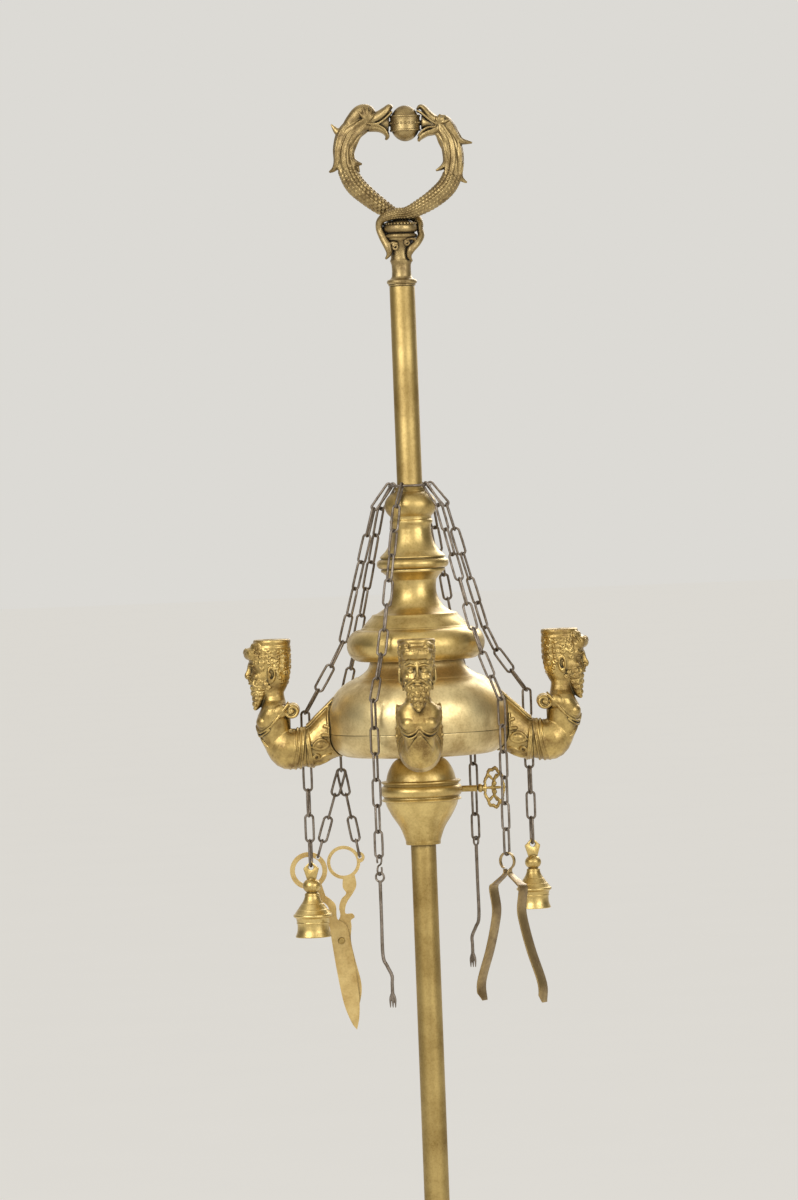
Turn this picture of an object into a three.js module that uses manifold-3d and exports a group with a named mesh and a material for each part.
// A Florentine oil lamp: a brass font with four figure spouts on a tall stem, a lid that lifts
// along the stem, and the wick tools on chains. Sizes are in millimetres and angles in degrees,
// +Z is up, and the origin is the middle of the foot, on the floor. The front spout points to -Y.

import * as THREE from 'three';
import { mergeVertices } from 'three/addons/utils/BufferGeometryUtils.js';
import Module from 'manifold-3d';

const wasm = await Module();
wasm.setup();

// Clearances
const SEAT = 0.3;
const SLIDE = 0.35;
const PLAY = 0.25;

// Facets round a full turn
const BROAD = 16;
const MIDDLE = 12;
const SLIM = 12;

// Stand
const STEM = { radius: 12, wall: 2, top: 1526.7 };
const FOOT = { radius: 150, rim: 18, wall: 4, dome: 118, hub: 24, hubFloor: 98 };
const BALLAST = { radius: 107, underside: 12, thick: 20, hub: 20 };
const WASHER = { radius: 22, thick: 2.5 };
const NUT = { flats: 32, thick: 7 };
const KNOP = { height: 82, ball: 30, neck: 17, top: 15.5 };
const FOOT_END = 1.5;

// Handle
const SOCKET = { height: 61.85, spigot: 27, bead: 14.25, neck: 10, knop: 16.2 };
const HANDLE = { half: 51.5, shift: 1.8, ballX: 8.7, rise: 91.6, body: 10.4, tail: 8, depth: 7 };
const BALL = { radius: 14.2, half: 17, belt: 7, spindle: 2.6, deep: 9 };
const LEFT_HEAD = { reach: 33, brow: 17, jaw: 11 };
const RIGHT_HEAD = { reach: 14.5, brow: 10, jaw: 14 };

// Clamp collar and its screw
const COLLAR = { height: 1048.3, up: 34, down: 51.3, rim: 39, foot: 16.5, cup: 34.7, crown: 16 };
const SCREW = { radius: 3, hole: 3.3, bead: 4.4, neck: 53, wingFrom: 59.1, wingTo: 79.5, wingHigh: 39 };

// Font, lid and spouts
const FONT = {
  radius: 86.5, wall: 2, corner: 22, seam: 22.7, side: 36.3, rise: 39.8, ridge: 58.9,
  mouth: 44.1, mouthWall: 3, height: 89.7, lap: 4,
};
const SLEEVE = { wall: 2.4, height: 86, flange: 21 };
const LID = {
  rim: 65.5, rimThick: 30, band: 40.8, neck: 21.4, height: 86.4, plug: 6, plugWall: 3, wall: 3.2,
};
const BALUSTER = { height: 77, torus: 34.2, waist: 18.4, ball: 24.7, ballAt: 59.7, lip: 14.2 };
const SPOUT = {
  start: FONT.radius - 10.5, joint: FONT.radius + 20.5, elbow: 19, reach: FONT.radius + 53,
  headTop: 114.4, trough: 15, well: 6.8,
};

// Chains
const RING = { radius: 19.6, wire: 1.1, rise: 1.7 };
const LINK = { width: 8, flat: 2.6, shoulder: 3.6, inner: 0.9, outer: 1.2, half: 1, weld: 0.3 };
const HOOK_WIDTH = 5.6;
const JUNCTION_WIDTH = 9.4;
const DROP_LINKS = 6;
const DROP_PITCH = 24.3;
const DRAPE_LINKS = 9;

// Each chain: the angles at which it leaves the ring and hangs, how far it hangs outside the
// font's side, and how far its end is below the font
const CHAINS = {
  left: { from: 176, hang: 165.5, out: 25, below: 104.6 },
  back_left: { from: 143, hang: 141.7, out: 10.3, below: 17, links: 2 },
  front_left: { from: 247.5, hang: 244.2, out: 10.1, below: 90.6 },
  front_right: { from: 320, hang: 323.4, out: 10.7, below: 94.6 },
  right: { from: 8, hang: 15.1, out: 21.2, below: 90.6 },
  back_right: { from: 57, hang: 57.8, out: 9.2, below: 88.6 },
};

// Tools
const BELL = { height: 73, radius: 18.2, ball: 8.1, ear: 7.6, plate: 2.6 };
const SMALL_BELL = 0.9;
const EYE_HOLE = 2.6;
const PICK = { length: 118, rod: 1.7, eye: 4.2, wire: 1.1, crank: 8.5, fork: 3.4 };
const S_HOOK = { radius: 4.7, wire: 0.9 };
const TWEEZER = { bow: 8.6, strip: 1.3, loop: 3.6, width: 14, length: 124, shoulder: 17, tips: 35 };
const SCISSORS = {
  blade: 86, plate: 2.4, bore: 2.2, rivet: 1.9, head: 3.4, leftRing: 17.9, leftHole: 13.2,
  rightRing: 16, rightHole: 12.8, pin: 1.8, lobe: 5.2, legDrop: 81.6, aside: 6,
};

// Two short chains carry the scissors, side by side on one bow: three long links and a small hook
const LEG = { apart: 1.2, stops: [0, 0.27, 0.54, 0.81, 1] };

// Metals
const BRASS = { color: 0xb8963f, roughness: 0.35, metalness: 1 };
const DARK_BRASS = { color: 0x9c7c38, roughness: 0.45, metalness: 1 };
const PALE_BRASS = { color: 0xc9ae66, roughness: 0.5, metalness: 1 };
const WIRE_IRON = { color: 0x8a7a68, roughness: 0.55, metalness: 1 };
const CAST_IRON = { color: 0x3a3835, roughness: 0.8, metalness: 0.9 };

const lamp = new THREE.Group();

// Shaping helpers

function radians(angle) {
  return THREE.MathUtils.degToRad(angle);
}

// A closed geometry as a solid with its faces pointing out
function solid(geometry) {
  const bare = geometry.clone();
  for (const name of Object.keys(bare.attributes)) {
    if (name !== 'position') bare.deleteAttribute(name);
  }
  const welded = mergeVertices(bare, 1e-4);
  const place = welded.attributes.position.array;
  const index = welded.index.array;
  const corners = [];
  let volume = 0;
  for (let i = 0; i < index.length; i += 3) {
    const [a, b, c] = [index[i], index[i + 1], index[i + 2]];
    if (a === b || b === c || c === a) continue;
    corners.push(a, b, c);
    const p = new THREE.Vector3().fromArray(place, a * 3);
    const q = new THREE.Vector3().fromArray(place, b * 3);
    const r = new THREE.Vector3().fromArray(place, c * 3);
    volume += p.dot(q.cross(r));
  }
  if (volume < 0) corners.reverse();
  const mesh = new wasm.Mesh({
    numProp: 3,
    vertProperties: new Float32Array(place),
    triVerts: new Uint32Array(corners),
  });
  return new wasm.Manifold(mesh);
}

// A solid as a named mesh of one metal
function piece(name, body, metal, group = lamp) {
  const { vertProperties, triVerts } = body.simplify(0.03).getMesh();
  const geometry = new THREE.BufferGeometry();
  geometry.setAttribute('position', new THREE.BufferAttribute(new Float32Array(vertProperties), 3));
  geometry.setIndex(new THREE.BufferAttribute(new Uint32Array(triVerts), 1));
  geometry.computeVertexNormals();
  const mesh = new THREE.Mesh(geometry, new THREE.MeshStandardMaterial(metal));
  mesh.name = name;
  group.add(mesh);
  return mesh;
}

// A profile of [radius, height] pairs turned about the Z axis
function turned(profile, facets) {
  const points = profile.map(([r, z]) => new THREE.Vector2(r, z));
  if (points[0].x > 0) points.push(points[0].clone());
  const geometry = new THREE.LatheGeometry(points, facets);
  geometry.rotateX(Math.PI / 2);
  return solid(geometry);
}

// Points on an elliptic arc of a profile: 0 points outwards and 90 up
function arc(r, z, wide, high, from, to, steps) {
  const points = [];
  for (let i = 0; i <= steps; i += 1) {
    const angle = radians(from + (to - from) * i / steps);
    points.push([r + wide * Math.cos(angle), z + high * Math.sin(angle)]);
  }
  return points;
}

function tubeProfile(inner, outer, bottom, top) {
  return [[inner, bottom], [outer, bottom], [outer, top], [inner, top]];
}

// A rod along X, Y or Z between two stations
function rod(axis, radius, from, to, facets = 12) {
  const geometry = new THREE.CylinderGeometry(radius, radius, to - from, facets);
  geometry.translate(0, (from + to) / 2, 0);
  if (axis === 'x') geometry.rotateZ(-Math.PI / 2);
  if (axis === 'z') geometry.rotateX(Math.PI / 2);
  return solid(geometry);
}

function box(from, to) {
  const size = to.map((value, i) => value - from[i]);
  const geometry = new THREE.BoxGeometry(...size);
  geometry.translate(...from.map((value, i) => value + size[i] / 2));
  return solid(geometry);
}

function egg(centre, radii, around = 10, down = 7) {
  const geometry = new THREE.SphereGeometry(1, around, down);
  geometry.rotateX(Math.PI / 2);
  geometry.scale(...radii);
  geometry.translate(...centre);
  return solid(geometry);
}

// Rings of points, each with the same count, joined into a closed skin
function skin(rings) {
  const count = rings[0].length;
  const place = [];
  const index = [];
  for (const ring of rings) for (const p of ring) place.push(p.x, p.y, p.z);
  for (let i = 0; i < rings.length - 1; i += 1) {
    for (let j = 0; j < count; j += 1) {
      const a = i * count + j;
      const b = i * count + (j + 1) % count;
      index.push(a, b, a + count, b, b + count, a + count);
    }
  }
  const last = (rings.length - 1) * count;
  for (let j = 1; j < count - 1; j += 1) {
    index.push(0, j + 1, j);
    index.push(last, last + j, last + j + 1);
  }
  const geometry = new THREE.BufferGeometry();
  geometry.setAttribute('position', new THREE.Float32BufferAttribute(place, 3));
  geometry.setIndex(index);
  return solid(geometry);
}

// A limb whose stations lie in one upright plane: [along, across, up, half height, half width]
function limb(stations, sides, steps) {
  const spine = new THREE.CatmullRomCurve3(stations.map(([x, y, z]) => new THREE.Vector3(x, y, z)));
  const rings = [];
  for (let i = 0; i <= steps; i += 1) {
    const share = i / steps;
    const at = share * (stations.length - 1);
    const low = Math.min(Math.floor(at), stations.length - 2);
    const blend = at - low;
    const high = THREE.MathUtils.lerp(stations[low][3], stations[low + 1][3], blend);
    const wide = THREE.MathUtils.lerp(stations[low][4], stations[low + 1][4], blend);
    const centre = spine.getPoint(share);
    const along = spine.getTangent(share);
    const across = new THREE.Vector3(0, 1, 0).addScaledVector(along, -along.y).normalize();
    const up = new THREE.Vector3().crossVectors(along, across);
    const ring = [];
    for (let j = 0; j < sides; j += 1) {
      const angle = 2 * Math.PI * (j + 0.5) / sides;
      ring.push(centre.clone()
        .addScaledVector(up, high * Math.cos(angle))
        .addScaledVector(across, wide * Math.sin(angle)));
    }
    rings.push(ring);
  }
  return skin(rings);
}

// A tapering horn from one point to another
function horn(from, to, radius, sides = 4) {
  const tip = radius * 0.2;
  return limb([[...from, radius, radius], [...to, tip, tip]], sides, 1);
}

// A wire along a smooth curve
function wire(points, radius, steps, sides = 6) {
  const outline = new THREE.Shape();
  outline.absarc(0, 0, radius, 0, 2 * Math.PI);
  const path = new THREE.CatmullRomCurve3(points.map((p) => new THREE.Vector3(...p)));
  const options = { steps, bevelEnabled: false, extrudePath: path, curveSegments: sides };
  return solid(new THREE.ExtrudeGeometry(outline, options));
}

// A flat outline of [across, up] pairs as a plate, standing in X and Z about the plane y = at
function plate(outline, at, thick) {
  const shape = new THREE.Shape(outline.map(([x, y]) => new THREE.Vector2(x, y)));
  const geometry = new THREE.ExtrudeGeometry(shape, { depth: thick, bevelEnabled: false });
  geometry.rotateX(Math.PI / 2);
  geometry.translate(0, at + thick / 2, 0);
  return solid(geometry);
}

function join(...bodies) {
  return bodies.reduce((whole, body) => whole.add(body));
}

function cut(body, ...tools) {
  return tools.reduce((rest, tool) => rest.subtract(tool), body);
}

function groupAt(x, y, z, turn = 0, parent = lamp) {
  const group = new THREE.Group();
  group.position.set(x, y, z);
  group.rotation.z = radians(turn);
  parent.add(group);
  return group;
}

// Corner radius of the faceted bores that run on the stem
const bore = (STEM.radius + SLIDE) / Math.cos(Math.PI / SLIM);

// Foot, ballast and the fastening of the stem
function buildStand() {
  const r = FOOT.radius;
  const top = FOOT.dome;
  const inside = r - FOOT.rim - FOOT.wall;
  piece('base_shell', turned([
    [inside, 0],
    ...arc(r - FOOT.rim / 2, FOOT.rim / 2, FOOT.rim / 2, FOOT.rim / 2, -90, 90, 3),
    [r * 0.8, FOOT.rim + 20],
    [r * 0.64, FOOT.rim + 34],
    [r * 0.48, FOOT.rim + 42],
    [r * 0.46, FOOT.rim + 51],
    [r * 0.29, top - 30],
    [r * 0.21, top - 12],
    [r * 0.2, top],
    [bore, top],
    [bore, FOOT.hubFloor],
    [FOOT.hub, FOOT.hubFloor],
    [r * 0.27, top - 35],
    [r * 0.43, FOOT.rim + 46],
    [r * 0.62, FOOT.rim + 29],
    [r * 0.77, FOOT.rim + 16],
    [inside + 2, FOOT.rim],
  ], BROAD), BRASS);

  const low = BALLAST.underside;
  const high = low + BALLAST.thick;
  piece('base_weight', turned([
    [bore, low],
    [BALLAST.radius - 2, low],
    [BALLAST.radius, low + BALLAST.thick * 0.6],
    [BALLAST.radius - 9, high],
    [BALLAST.radius * 0.56, high + 8],
    [BALLAST.hub + 6, high + 20],
    [BALLAST.hub, FOOT.hubFloor - SEAT],
    [bore, FOOT.hubFloor - SEAT],
  ], MIDDLE), CAST_IRON);

  const washerTop = low - SEAT;
  const washerBottom = washerTop - WASHER.thick;
  piece('base_washer', turned(tubeProfile(bore, WASHER.radius, washerBottom, washerTop), SLIM), BRASS);

  const nutTop = washerBottom - SEAT;
  const corner = NUT.flats / Math.sqrt(3);
  const nut = rod('z', corner, nutTop - NUT.thick, nutTop, 6);
  piece('base_nut', cut(nut, rod('z', bore, 0, nutTop + 1, 16)), BRASS);

  piece('stem_tube', turned(
    tubeProfile(STEM.radius - STEM.wall, STEM.radius, FOOT_END, STEM.top), 24), BRASS);

  const foot = top + SEAT;
  const middle = foot + KNOP.height * 0.4;
  piece('base_knop', turned([
    [bore, foot],
    [KNOP.ball * 0.86, foot],
    [KNOP.ball * 0.92, foot + 4],
    [KNOP.neck, foot + 9],
    ...arc(0, middle, KNOP.ball, 20, -50, 50, 4),
    [KNOP.neck, foot + KNOP.height * 0.68],
    [KNOP.neck + 5, foot + KNOP.height * 0.74],
    [KNOP.neck + 4, foot + KNOP.height * 0.8],
    [KNOP.top, foot + KNOP.height * 0.84],
    [KNOP.top, foot + KNOP.height],
    [bore, foot + KNOP.height],
  ], MIDDLE), BRASS);
}

// Turned socket on the stem's end, with the two sea serpents and the ball in their jaws
function buildHandle() {
  const foot = STEM.top + SEAT;
  const peg = STEM.radius - STEM.wall - SEAT;
  const group = groupAt(0, 0, foot);
  piece('finial_socket', turned([
    [0, -SOCKET.spigot],
    [peg, -SOCKET.spigot],
    [peg, 0],
    [SOCKET.bead - 1.4, 0],
    ...arc(SOCKET.bead - 2.4, 3.8, 2.4, 2.4, -60, 90, 2),
    [SOCKET.neck, 9.5],
    [SOCKET.neck, 17],
    [SOCKET.neck + 0.9, 24],
    [SOCKET.knop - 2.6, 36],
    [SOCKET.knop - 0.4, 45],
    [SOCKET.knop, 52],
    [SOCKET.knop - 0.6, SOCKET.height],
    [0, SOCKET.height],
  ], MIDDLE), BRASS, group);

  const crown = groupAt(0, 0, SOCKET.height, 0, group);
  const { half, shift, ballX, rise } = HANDLE;
  const hinges = [LEFT_HEAD, RIGHT_HEAD].map(({ reach }) => half - reach);
  const ends = [shift - hinges[0] - BALL.deep, shift + hinges[1] + BALL.deep];
  const profile = [
    [0, -BALL.half],
    ...arc(0, 0, BALL.radius, BALL.half, -65, -25, 2),
    [BALL.radius + 0.5, -BALL.belt],
    [BALL.radius + 0.5, BALL.belt],
    ...arc(0, 0, BALL.radius, BALL.half, 25, 65, 2),
    [0, BALL.half],
  ];
  const spindle = rod('x', BALL.spindle, ends[0] - ballX, ends[1] - ballX, 8);
  const ball = join(turned(profile, 10), spindle);
  piece('handle_ball', ball.translate([ballX, 0, rise]), BRASS, crown);

  serpent('serpent_left', -1, LEFT_HEAD, crown);
  serpent('serpent_right', 1, RIGHT_HEAD, crown);
}

// One serpent: side is -1 on the left, whose tail lies behind, and 1 on the right
function serpent(name, side, head, crown) {
  const { half, shift, rise, body, tail, depth } = HANDLE;
  const x = (value) => shift + side * value;
  const hinge = half - head.reach;
  const neck = (hinge + half) / 2;
  const trunk = limb([
    [x(-17), -side * 15, -14, 2.4, 2.4],
    [x(-20), -side * 15.4, -3, 3.2, 3],
    [x(-17), -side * 12.6, 5, 4, 3.8],
    [x(-7), -side * depth, tail - 1.4, tail - 2.4, 5.4],
    [x(7), -side * depth, tail - 0.8, tail - 1.2, 6],
    [x(20), -side * 5, 13, tail - 0.4, 6.6],
    [x(half - 15), 0, 24, tail + 0.4, 7.6],
    [x(half - 5), 0, 36, tail + 1.4, 8.4],
    [x(half - 0.5), 0, 48, body, 9],
    [x(half), 0, rise - 28, body, 9],
    [x(half - 3), 0, rise - 14, body, 9],
    [x(neck + 2), 0, rise - 2, body - 0.5, 9],
    [x(hinge + 5), 0, rise + 2, body - 2.4, 8],
  ], 7, 13);
  const brow = egg([x(hinge + 9), 0, rise + head.brow - 9], [11, 8.5, 9], 7, 5);
  const muzzle = limb([
    [x(hinge + 4), 0, rise + 4, 5, 7],
    [x(hinge - 3), 0, rise + 7, 3.6, 6],
    [x(hinge - 8), 0, rise + 12, 2.4, 4.6],
    [x(hinge - head.jaw), 0, rise + 18, 1, 2],
  ], 5, 3);
  const chin = limb([
    [x(hinge + 4), 0, rise - 3, 4.6, 6.6],
    [x(hinge - 4), 0, rise - 6, 3, 5.4],
    [x(hinge - 8), 0, rise - 11, 2, 3.6],
    [x(hinge - head.jaw + 2), 0, rise - 16, 0.8, 1.6],
  ], 5, 3);
  const fins = [
    horn([x(half + 2), 0, rise - 12], [x(half + 15), 0, rise - 7], 4),
    horn([x(half + 4), 0, 48], [x(half + 16), 0, 43], 4),
    horn([x(half - 4), 0, 56], [x(half - 17), 0, 52], 4),
  ];
  const socket = rod('x', BALL.spindle + SEAT, HANDLE.ballX - half, HANDLE.ballX + half, 8);
  const deep = x(hinge + BALL.deep + SEAT);
  const rest = side < 0 ? box([-200, -9, -9], [deep, 9, 9]) : box([deep, -9, -9], [200, 9, 9]);
  const room = cut(socket, rest);
  const whole = join(trunk, brow, muzzle, chin, ...fins);
  piece(name, cut(whole, room.translate([0, 0, rise])), BRASS, crown);
}

// Clamp collar that carries the font, and its thumb screw
function buildCollar() {
  const { up, down, rim, foot, cup, crown } = COLLAR;
  const group = groupAt(0, 0, COLLAR.height);
  const body = turned([
    [bore, -down],
    [foot, -down],
    [foot + 0.6, -down + 5],
    [foot + 9, -down + 23],
    [cup, -9.6],
    [cup + 3, -9],
    [cup + 1.8, -6.6],
    ...arc(rim - 6.4, 0, 6.4, 6.4, -55, 55, 3),
    [cup + 1.8, 6.6],
    [cup + 3, 9],
    ...arc(crown - 4, 9.6, cup - crown + 2.8, up - 9.6, 0, 80, 4),
    [crown, up],
    [bore, up],
  ], MIDDLE);
  piece('clamp_collar', cut(body, rod('x', SCREW.hole, 0, rim + 5)), BRASS, group);

  const tip = STEM.radius + SEAT;
  piece('screw_shank', rod('x', SCREW.radius, tip, SCREW.neck, 10), BRASS, group);

  const { bead, neck, wingFrom, wingTo, wingHigh } = SCREW;
  const knob = turned([
    [0, neck + SEAT], [bead - 1, neck + SEAT], [bead, neck + 3], [bead - 0.6, wingFrom + 1.5], [0, wingFrom + 1.5],
  ], 10).rotate([0, 90, 0]);
  const middle = (wingFrom + wingTo) / 2;
  const oval = new THREE.CylinderGeometry(1, 1, 5, 16);
  oval.scale((wingTo - wingFrom) / 2, 1, wingHigh / 2);
  oval.translate(middle, 0, 0);
  const holes = [];
  for (const [x, z, r] of [[0, 0.62, 3.2], [0, -0.62, 3.2], [-0.4, 0.22, 2], [-0.4, -0.22, 2], [0.45, 0, 2.2]]) {
    const hole = rod('y', r, -4, 4, 6);
    holes.push(hole.translate([middle + x * (wingTo - wingFrom) / 2, 0, z * wingHigh / 2]));
  }
  piece('screw_head', join(knob, cut(solid(oval), ...holes)), BRASS, group);
}

// Underside of the font, where it rests on the collar
const fontFoot = COLLAR.height + COLLAR.up + SEAT;

function fontEnvelope(gap) {
  const r = FONT.radius + gap;
  return turned([
    [0, -1],
    [FONT.radius - FONT.corner, -gap],
    ...arc(FONT.radius - FONT.corner, FONT.corner, FONT.corner + gap, FONT.corner + gap, -60, 0, 3),
    [r, FONT.side],
    ...arc(FONT.radius - FONT.rise - 0.7, FONT.side, FONT.rise + 0.7 + gap, FONT.rise + gap, 12, 71, 5),
    [0, FONT.height],
  ], BROAD);
}

// Bowl, shoulder and inner sleeve of the font, with the four spouts on its sides
function buildFont() {
  const { radius, wall, corner, seam, side, rise, ridge, mouth, mouthWall, height, lap } = FONT;
  const group = groupAt(0, 0, fontFoot);
  const sleeveOuter = bore + SLEEVE.wall;
  const floor = radius - corner;
  piece('font_bowl', turned([
    [sleeveOuter + SEAT, 0],
    [floor, 0],
    ...arc(floor, corner, corner, corner, -60, 0, 3),
    [radius, seam],
    [radius - wall, seam],
    ...arc(floor, corner, corner - wall, corner - wall, 0, -60, 2),
    [floor, wall],
    [sleeveOuter + SEAT, wall],
  ], BROAD), BRASS, group);

  piece('font_sleeve', turned([
    [bore, 0],
    [sleeveOuter, 0],
    [sleeveOuter, wall + SEAT],
    [SLEEVE.flange, wall + SEAT],
    [SLEEVE.flange, 2 * wall + SEAT],
    [sleeveOuter, 2 * wall + SEAT],
    [sleeveOuter, SLEEVE.height],
    [bore, SLEEVE.height],
  ], SLIM), BRASS, group);

  const middle = radius - rise - 0.7;
  const throat = mouth - mouthWall;
  const lapOut = radius - wall - SEAT - 0.6;
  const shell = turned([
    [lapOut - wall, seam - lap],
    [lapOut, seam - lap],
    [lapOut, seam + SEAT],
    [radius, seam + SEAT],
    ...arc(middle, side, rise + 0.7, rise, 0, 71, 5),
    [ridge - 2.6, side + rise - 0.4],
    [mouth + 7, height - 11.5],
    [mouth + 2.4, height - 7],
    [mouth, height - 1],
    [mouth, height],
    [throat, height],
    [throat, height - 7],
    [ridge - 6, side + rise - wall - 2.4],
    ...arc(middle, side, rise + 0.7 - wall, rise - wall, 60, 0, 2),
    [lapOut - wall, seam + SEAT + 4],
  ], BROAD);
  const ways = [];
  for (const turn of [0, 90, 180, 270]) {
    const way = box([floor, -SPOUT.trough / 2, seam + 5], [radius + 5, SPOUT.trough / 2, seam + 21]);
    ways.push(way.rotate([0, 0, turn]));
  }
  piece('font_shoulder', cut(shell, ...ways), BRASS, group);

  const places = { right: 0, back: 90, left: 180, front: 270 };
  for (const [place, turn] of Object.entries(places)) {
    const arm = groupAt(0, 0, 0, turn, group);
    spoutRoot(`spout_root_${place}`, arm);
    spoutFigure(`spout_figure_${place}`, arm);
  }
}

// Trough and bore that lead the oil out to the wick
function oilWay() {
  const { start, joint, trough, reach, well, headTop } = SPOUT;
  const gutter = box([start - 20, -trough / 2, 12], [joint + 11, trough / 2, 90]);
  const run = reach - 4 - joint + 12;
  const bend = rod('x', trough * 0.42, 0, run + 6, 6).rotate([0, -46, 0]);
  const shaft = rod('z', well, 44, headTop + 5, 8);
  return join(gutter, bend.translate([joint, 0, 16]), shaft.translate([reach, 0, 0]));
}

// Cast root of a spout with its leaves, fitted to the font's side
function spoutRoot(name, arm) {
  const { start, joint } = SPOUT;
  const trunk = limb([
    [start - 6, 0, 42, 26, 19],
    [start + 5, 0, 34, 29.5, 21],
    [start + 17, 0, 24, 28, 20],
    [joint, 0, 13, 21, 18.6],
    [joint + 12, 0, 9, 20.4, 18.6],
  ], 8, 4);
  const leaves = [];
  for (const [tilt, long] of [[45, 1], [90, 1.2], [270, 1.2], [315, 1]]) {
    const out = Math.sin(radians(tilt));
    const up = Math.cos(radians(tilt));
    leaves.push(limb([
      [start + 3, 20 * out, 36 + 26 * up, 3, 4.5],
      [start + 12 * long, 21.5 * out, 31 + 28 * up, 3.4, 5],
      [start + 20 * long, 18.5 * out, 26 + 24 * up, 1.6, 2.4],
    ], 3, 2));
  }
  const beyond = box([joint, -40, -40], [joint + 60, 40, 80]);
  const whole = join(trunk, ...leaves);
  piece(name, cut(whole, beyond, fontEnvelope(SEAT), oilWay()), BRASS, arm);
}

// Cast figure: round elbow, bare chest, bearded head, and the wick opening in its crown
function spoutFigure(name, arm) {
  const { joint, elbow, reach, headTop, well } = SPOUT;
  const bust = limb([
    [joint - 8, 0, 13.6, 20.8, 18.6],
    [joint + 6, 0, 11, elbow + 1.5, elbow],
    [joint + 19, 0, 13.5, elbow + 1.5, elbow + 0.8],
    [joint + 28, 0, 28, elbow - 2.4, elbow + 1.6],
    [reach - 3, 0, 40, 16, 19.6],
    [reach - 3, 0, 52, 10.8, 11.6],
    [reach - 1, 0, 62, 12.5, 12.2],
    [reach + 1, 0, 74, 18.4, 15.4],
    [reach + 1.5, 0, 88, 21, 18],
    [reach + 2, 0, 100, 21.5, 17.6],
    [reach - 2, 0, headTop - 7, 16, 15],
    [reach - 3, 0, headTop, 17, 15.6],
  ], 8, 10);
  const scrolls = [-1, 1].flatMap((side) => [
    rod('y', 6.8, -4.5, 4.5, 7).translate([joint + 12, side * 15.5, 46.5]),
    limb([[joint + 14, side * 14.5, 48.5, 3.4, 4], [joint + 29, side * 13, 39, 4, 4]], 4, 1),
  ]);
  const beard = limb([
    [reach + 11, 0, 76, 8, 12],
    [reach + 12.5, 0, 64, 8, 10],
    [reach + 12, 0, 48, 1.5, 2],
  ], 5, 3);
  const nose = horn([reach + 19.5, 0, 77], [reach + 17, 0, 92], 3.6);
  const ears = [-1, 1].map((side) => egg([reach - 1, side * 17, 80], [5, 3.4, 7], 4, 3));
  const whole = join(bust, ...scrolls, beard, nose, ...ears);
  const inner = box([joint - 60, -40, -40], [joint + SEAT, 40, 80]);
  piece(name, cut(whole, oilWay(), inner), BRASS, arm);
}

// Lid: a hollow disc with a rolled rim, and the baluster that stands on it
const lidFoot = fontFoot + FONT.height + SEAT;
const balusterFoot = lidFoot + LID.height + SEAT;
const lidTop = balusterFoot + BALUSTER.height;

function buildLid() {
  const { rim, rimThick, band, neck, height, plug, plugWall, wall } = LID;
  const group = groupAt(0, 0, lidFoot);
  const fit = FONT.mouth - FONT.mouthWall - SLIDE;
  const roll = rimThick / 2;
  piece('lid_disc', turned([
    [fit - plugWall, -plug],
    [fit, -plug],
    [fit, 0],
    [rim - roll + 2, 0],
    ...arc(rim - roll + 2, roll, roll - 2, roll, -60, 90, 4),
    [band + 6, rimThick + 6],
    [band, rimThick + 12.4],
    [band - 4, rimThick + 15],
    [neck + 6.4, height - 36],
    [neck + 1, height - 26],
    [neck, height - 14],
    [neck + 9, height - 2.6],
    [neck + 9, height],
    [bore, height],
    [bore, height - 20],
    [neck - wall, height - 22],
    [neck + 5, height - 40],
    [band - 7, rimThick + 11],
    [band + 4, rimThick + 3],
    ...arc(rim - roll + 2, roll, roll - 2 - wall, roll - wall, 80, -70, 2),
    [fit - plugWall, wall],
  ], BROAD), BRASS, group);

  const turnedTop = groupAt(0, 0, balusterFoot);
  const { torus, waist, ball, ballAt, lip } = BALUSTER;
  piece('lid_baluster', turned([
    [bore, 0],
    [torus - 4.6, 0],
    ...arc(torus - 4.6, 4.7, 4.6, 4.7, -60, 90, 3),
    [torus - 3, 11.2],
    [waist + 5, 20],
    [waist, 38],
    [waist + 2, 45],
    ...arc(ball - 16.7, ballAt, 16.7, 15.5, -50, 52, 4),
    [lip + 1, BALUSTER.height - 3.6],
    [lip, BALUSTER.height],
    [bore, BALUSTER.height],
  ], MIDDLE), BRASS, turnedTop);
}

// Oval wire link between two bow centres: across is the direction of its bows
function link(from, to, across, width = LINK.width) {
  const along = to.clone().sub(from);
  const length = along.length();
  along.normalize();
  const flatwise = across.clone().addScaledVector(along, -across.dot(along)).normalize();
  const normal = new THREE.Vector3().crossVectors(along, flatwise);
  const middle = from.clone().add(to).multiplyScalar(0.5);
  const end = length / 2;
  const flat = LINK.flat * width / LINK.width;
  const outline = [
    [end, -flat], [end, flat], [end - LINK.shoulder, width / 2], [LINK.shoulder - end, width / 2],
    [-end, flat], [-end, -flat], [LINK.shoulder - end, -width / 2], [end - LINK.shoulder, -width / 2],
  ].map(([x, y]) => new THREE.Vector2(x, y));
  const rings = outline.map((point, i) => {
    const before = outline[(i + 7) % 8].clone().sub(point).normalize();
    const after = outline[(i + 1) % 8].clone().sub(point).normalize();
    const mitre = before.add(after).normalize().negate();
    const lean = Math.sin(Math.acos(THREE.MathUtils.clamp(mitre.dot(after), -1, 1)));
    const spot = (out, off) => middle.clone()
      .addScaledVector(along, point.x + mitre.x * out / lean)
      .addScaledVector(flatwise, point.y + mitre.y * out / lean)
      .addScaledVector(normal, off);
    return [spot(-LINK.inner, -LINK.half), spot(LINK.outer, 0), spot(-LINK.inner, LINK.half)];
  });
  return loop(rings);
}

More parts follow.
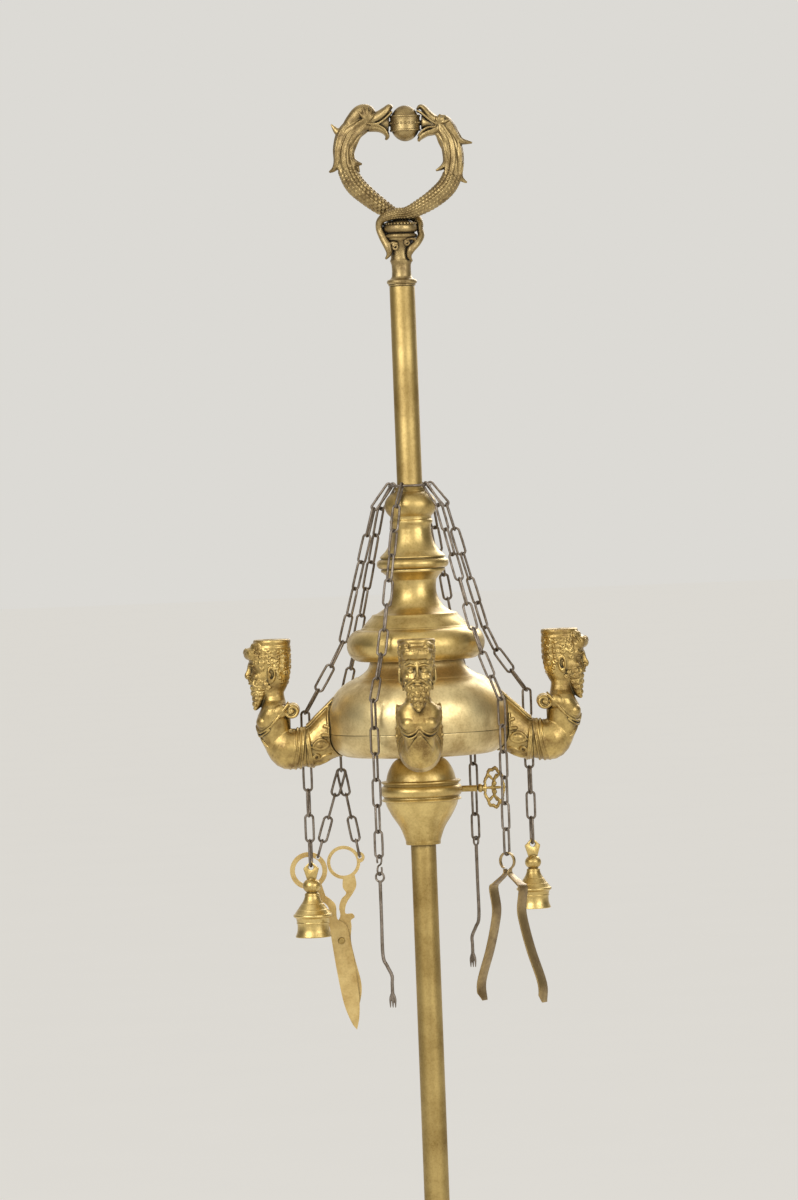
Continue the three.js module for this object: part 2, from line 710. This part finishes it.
// Rings of points joined into a closed hoop
function loop(rings) {
  const count = rings[0].length;
  const place = rings.flat().flatMap((p) => [p.x, p.y, p.z]);
  const index = [];
  rings.forEach((ring, i) => {
    const next = (i + 1) % rings.length;
    for (let j = 0; j < count; j += 1) {
      const k = (j + 1) % count;
      const [a, b, c, d] = [i * count + j, i * count + k, next * count + j, next * count + k];
      index.push(a, b, c, b, d, c);
    }
  });
  const geometry = new THREE.BufferGeometry();
  geometry.setAttribute('position', new THREE.Float32BufferAttribute(place, 3));
  geometry.setIndex(index);
  return solid(geometry);
}

// Distance between two bow centres that are welded, and between a pin and the bow round it
const WELD = 2 * LINK.inner - LINK.weld;
const SWING = Math.hypot(LINK.inner, LINK.half) + PLAY;
const PIN = LINK.inner + SWING;
const RING_PIN = LINK.inner + RING.wire + SEAT;

function level(angle) {
  return new THREE.Vector3(Math.cos(radians(angle)), Math.sin(radians(angle)), 0);
}

// A stretch of links along a route, from round one pin to its own last bow, which is the next
// pin. Every link is a quarter turn from the last, with a slight twist that brings the last
// bow to lie along endAxis. shares says where the links meet, from 0 to 1.
function stretch(route, shares, startAxis, endAxis, startGap, firstWidth, lastWidth = LINK.width) {
  const path = new THREE.CurvePath();
  for (let i = 0; i < route.length - 1; i += 1) path.add(new THREE.LineCurve3(route[i], route[i + 1]));
  const stops = shares.map((share) => path.getPointAt(share));
  const count = shares.length - 1;
  const twist = count % 2 === 0 || count === 1 ? 0 : 90 / (count - 1);
  const links = [];
  for (let i = 0; i < count; i += 1) {
    const along = stops[i + 1].clone().sub(stops[i]).normalize();
    const share = count === 1 ? 1 : i / (count - 1);
    const axis = level(THREE.MathUtils.lerp(startAxis, endAxis, share));
    const pin = axis.addScaledVector(along, -axis.dot(along)).normalize();
    const across = pin.applyAxisAngle(along, radians(90 * (i + 1) + twist * i));
    const before = i === 0 ? startGap : WELD / 2;
    const after = i === count - 1 ? 0 : WELD / 2;
    const from = stops[i].clone().addScaledVector(along, -before);
    const to = stops[i + 1].clone().addScaledVector(along, after);
    const width = i === 0 ? firstWidth : LINK.width;
    links.push(link(from, to, across, i === count - 1 && count > 1 ? lastWidth : width));
  }
  return join(...links);
}

function evenly(count) {
  return Array.from({ length: count + 1 }, (_, i) => i / count);
}

// Direction in which the bend pins of a chain point: the scissors face the front
function pinAngle(name) {
  return name === 'back_left' ? 270 : CHAINS[name].hang + 90;
}

const ringHeight = lidTop + RING.rise;

// Where a chain ends, and where it bends over the font's edge
function endOf(name) {
  const { hang, out, below } = CHAINS[name];
  return level(hang).multiplyScalar(FONT.radius + out).setZ(fontFoot - below);
}

function bendOf(name) {
  const { links = DROP_LINKS } = CHAINS[name];
  return endOf(name).add(new THREE.Vector3(0, 0, links * DROP_PITCH));
}

function buildChains() {
  const hoop = new THREE.TorusGeometry(RING.radius, RING.wire, 4, 18);
  piece('chain_ring', solid(hoop).translate([0, 0, ringHeight]), WIRE_IRON);

  for (const [name, { from, hang, links = DROP_LINKS }] of Object.entries(CHAINS)) {
    const bend = bendOf(name);
    const end = endOf(name);
    const turnBy = THREE.MathUtils.euclideanModulo(hang - from + 180, 360) - 180;
    const ringSpot = level(from).multiplyScalar(RING.radius).setZ(ringHeight);
    const ballSpot = level(from).multiplyScalar(BALUSTER.ball + 10).setZ(balusterFoot + BALUSTER.ballAt);
    const rimSpot = level(from + turnBy).multiplyScalar(LID.rim + 7).setZ(lidFoot + LID.rimThick / 2);
    const pin = from + turnBy + THREE.MathUtils.euclideanModulo(pinAngle(name) - hang, 360);
    const route = [ringSpot, ballSpot, rimSpot, bend];
    const drape = stretch(route, evenly(DRAPE_LINKS), from + 90, pin, RING_PIN, HOOK_WIDTH);
    piece(`chain_${name}_upper`, drape, WIRE_IRON);
    if (name !== 'back_left') {
      const drop = stretch([bend, end], evenly(links), pin, pin, PIN, LINK.width);
      piece(`chain_${name}_lower`, drop, WIRE_IRON);
      continue;
    }
    // The scissors' chain has two links below its bend, and the second one turns round the first
    const middle = bend.clone().lerp(end, 0.5);
    const first = stretch([bend, middle], evenly(1), pin, pin, PIN, LINK.width);
    piece(`chain_${name}_lower`, first, WIRE_IRON);
    const second = stretch([middle, end], evenly(1), pin - 90, pin - 90, PIN, JUNCTION_WIDTH);
    piece('scissor_link', second, WIRE_IRON);
  }
}

// A tool's group at the end of its chain, turned so that its Y axis lies along the chain's last pin
function toolGroup(chain) {
  const end = endOf(chain);
  return groupAt(end.x, end.y, end.z, pinAngle(chain) - 90);
}

// Bell that is lowered over a wick, hung by the hole in its pointed ear
function extinguisher(name, chain, scale) {
  const group = toolGroup(chain);
  const hole = SWING - EYE_HOLE;
  const { height, radius, ball, ear, plate: thick } = BELL;
  const top = hole - 10.5;
  const z = (share) => top - (height - 17) * scale * share;
  const r = (value) => value * scale;
  const bell = turned([
    [0, z(0.02) + 0.6],
    [r(5), z(0)],
    ...arc(0, z(0.13), r(ball), r(ball - 0.8), 55, -55, 4),
    [r(ball - 2.2), z(0.27)],
    [r(ball - 0.8), z(0.36)],
    [r(radius - 6), z(0.5)],
    [r(radius - 0.6), z(0.6)],
    [r(radius), z(0.645)],
    [r(radius - 1.4), z(0.69)],
    [r(radius - 3), z(0.78)],
    [r(radius - 1), z(1)],
    [r(radius - 2.6), z(1)],
    [r(radius - 4.8), z(0.74)],
    [r(radius - 8.5), z(0.52)],
    [r(2), z(0.4)],
    [0, z(0.38)],
  ], 10);
  const outline = [[-4.6, -13], [4.6, -13], [ear, -1], [0, 6.2], [-ear, -1]].map(([x, y]) => [x, y + hole]);
  const lug = cut(plate(outline, 0, thick), rod('y', EYE_HOLE, -5, 5, 8).translate([0, 0, hole]));
  piece(name, join(bell, lug), BRASS, group);
}

// Wick pick: a rod with an eye, cranked near its forked end
function pick(name, group, eyeTop, eyeTurn) {
  const { length, rod: thick, eye, wire: gauge, crank, fork } = PICK;
  const centre = eyeTop - eye;
  const ring = new THREE.TorusGeometry(eye, gauge, 4, 10);
  ring.rotateX(Math.PI / 2);
  ring.rotateZ(radians(eyeTurn));
  ring.translate(0, 0, centre);
  const foot = centre - eye;
  const shaft = limb([
    [0, 0, foot + 0.6, thick, thick],
    [0, 0, foot - length * 0.59, thick, thick],
    [0, crank * 0.5, foot - length * 0.67, thick, thick],
    [0, crank, foot - length * 0.75, thick, thick],
    [0, crank, foot - length * 0.9, thick * 0.9, thick * 1.2],
    [0, crank, foot - length, thick * 0.6, fork],
  ], 5, 7);
  const notch = plate([[-1, -7], [1, -7], [0, 5]], 0, 10).rotate([0, 0, 90]);
  const tip = notch.translate([0, crank, foot - length]);
  piece(name, cut(join(solid(ring), shaft), tip), WIRE_IRON, group);
}

function buildPicks() {
  pick('pick_back', toolGroup('back_right'), SWING + PICK.wire, 0);

  const front = toolGroup('front_left');
  const { radius, wire: gauge } = S_HOOK;
  const upper = SWING + gauge - radius;
  const lower = upper - 2 * radius;
  const points = [];
  for (let angle = -30; angle < 270; angle += 50) {
    points.push([radius * Math.cos(radians(angle)), 0, upper + radius * Math.sin(radians(angle))]);
  }
  for (let angle = 90; angle >= -210; angle -= 50) {
    points.push([radius * Math.cos(radians(angle)), 0, lower + radius * Math.sin(radians(angle))]);
  }
  piece('pick_s_hook', wire(points, gauge, 14, 3), WIRE_IRON, front);
  pick('pick_front', front, lower - radius + gauge + SEAT + PICK.wire, 90);
}

// Tweezers bent from strip: a rolled bow and two sprung arms
function buildTweezers() {
  const group = toolGroup('front_right');
  const { bow, strip, loop, width, length, shoulder, tips } = TWEEZER;
  const drop = bow - strip - SWING;
  const outside = arc(0, -drop, bow, bow, -68, 248, 12);
  const inside = arc(0, -drop, bow - strip, bow - strip, 248, -68, 12);
  const neck = -drop - bow;
  piece('tweezer_bow', plate([...outside, ...inside], 0, loop), DARK_BRASS, group);

  const reach = bow * Math.cos(radians(68));
  const foot = -drop + bow * Math.sin(radians(-68)) - SEAT;
  for (const side of [-1, 1]) {
    const line = new THREE.CatmullRomCurve3([
      [reach - 0.6, foot], [reach - 0.4, foot - 5], [shoulder - 4, neck - 12], [shoulder, neck - 17],
      [shoulder - 2.6, neck - 36], [shoulder, neck - 52], [shoulder + 7, neck - 76],
      [tips, neck - 106], [tips - 0.6, neck - length],
    ].map(([x, z]) => new THREE.Vector3(x, 0, z)));
    const outer = [];
    const inner = [];
    for (let i = 0; i <= 12; i += 1) {
      const spot = line.getPoint(i / 12);
      const way = line.getTangent(i / 12);
      outer.push([side * (spot.x - way.z * strip / 2), spot.z + way.x * strip / 2]);
      inner.unshift([side * (spot.x + way.z * strip / 2), spot.z - way.x * strip / 2]);
    }
    const arm = plate([...outer, ...inner], 0, width);
    const skew = plate([[-9, 8], [9, -14], [9, -40], [-9, -40]], 0, 2 * tips + 60).rotate([0, 0, 90]);
    const name = side < 0 ? 'tweezer_arm_left' : 'tweezer_arm_right';
    piece(name, cut(arm, skew.translate([0, 0, neck - length + 8])), DARK_BRASS, group);
  }
}

// Wick scissors: two flat blades on one rivet, drawn about the rivet, and the chains that hold them
function buildScissors() {
  const { blade, plate: thick, bore: hole, rivet, head, pin, lobe, legDrop, aside } = SCISSORS;
  const { leftRing, leftHole, rightRing, rightHole } = SCISSORS;
  const drawn = (points) => points.map(([x, y]) => [x * blade / 86, y * blade / 86]);
  const front = drawn([
    [-13.8, 44], [-8.4, 39.7], [-4.1, 33.7], [-3.2, 21], [4.9, 15.5], [8, 2.8], [10.7, -13.7],
    [13.3, -37], [15, -57], [14.3, -73.7], [11.7, -86], [6.7, -79], [0, -60.4], [-5.3, -30.4],
    [-9.3, -0.4], [-11.4, 15.5], [-13.8, 18.6], [-10.8, 26.4], [-11.4, 32.5], [-15.7, 37.3],
    [-22.9, 39.7], [-29, 54], [-18, 58],
  ]);
  const back = drawn([
    [15.2, 62], [16.2, 52.4], [12.3, 44.6], [7.4, 37.9], [4.9, 31.9], [4.9, 25.8], [11, 25.6],
    [13.4, 22], [9.8, 19.2], [10.1, 12.9], [9, 0], [14, -19], [18.7, -40.3], [18.4, -59], [12, -78],
    [3, -60], [-4, -30], [-8, 0], [-7, 12], [-0.5, 22.8], [-1.1, 31.9], [1.3, 39.7], [6.2, 45.2],
    [3.1, 51.3], [3.7, 62],
  ]);
  const [leftCentre, rightCentre] = drawn([[-29, 68.5], [4.8, 75]]);
  const rim = (leftRing + leftHole) / 2;
  const leftPin = [leftCentre[0] + rim * 0.6, leftCentre[1] + rim * 0.8];
  const lobeCentre = [rightCentre[0] + rightRing - 0.8, rightCentre[1] + 4.4];
  const rightPin = [lobeCentre[0] + 0.4, lobeCentre[1] + 0.4];
  const offset = thick / 2 + SEAT / 2;
  const end = endOf('back_left');
  const group = groupAt(end.x - aside, end.y, end.z - legDrop - leftPin[1]);

  const disc = (centre, radius, y, facets) => rod('y', radius, y - thick / 2, y + thick / 2, facets)
    .translate([centre[0], 0, centre[1]]);
  const drill = (centre, radius, facets = 10) => rod('y', radius, -9, 9, facets)
    .translate([centre[0], 0, centre[1]]);
  const left = cut(join(plate(front, -offset, thick), disc(leftCentre, leftRing, -offset, 18)),
    drill(leftCentre, leftHole, 18), drill(leftPin, pin), drill([0, 0], hole, 12));
  piece('scissor_blade_left', left, PALE_BRASS, group);
  const right = cut(join(plate(back, offset, thick), disc(rightCentre, rightRing, offset, 18),
    disc(lobeCentre, lobe, offset, 10)),
    drill(rightCentre, rightHole, 18), drill(rightPin, pin), drill([0, 0], hole, 12));
  piece('scissor_blade_right', right, PALE_BRASS, group);

  const face = thick + 1.5 * SEAT;
  const dome = face + head * 0.35;
  piece('scissor_rivet', turned([
    [0, -dome], [head - 1, -dome], [head, -face], [rivet, -face],
    [rivet, face], [head, face], [head - 1, dome], [0, dome],
  ], 10).rotate([90, 0, 0]), BRASS, group);

  for (const [name, spot, side] of [['left', leftPin, -1], ['right', rightPin, 1]]) {
    const start = end.clone().add(new THREE.Vector3(0, side * LEG.apart, 0));
    const hook = new THREE.Vector3(spot[0], side * offset, spot[1] + pin - SWING).add(group.position);
    const leg = stretch([start, hook], LEG.stops, 270, 270, PIN, LINK.width, HOOK_WIDTH);
    piece(`scissor_chain_${name}`, leg, WIRE_IRON);
  }
}

buildStand();
buildHandle();
buildCollar();
buildFont();
buildLid();
buildChains();
extinguisher('extinguisher_left', 'left', 1);
extinguisher('extinguisher_right', 'right', SMALL_BELL);
buildPicks();
buildTweezers();
buildScissors();

export default lamp;
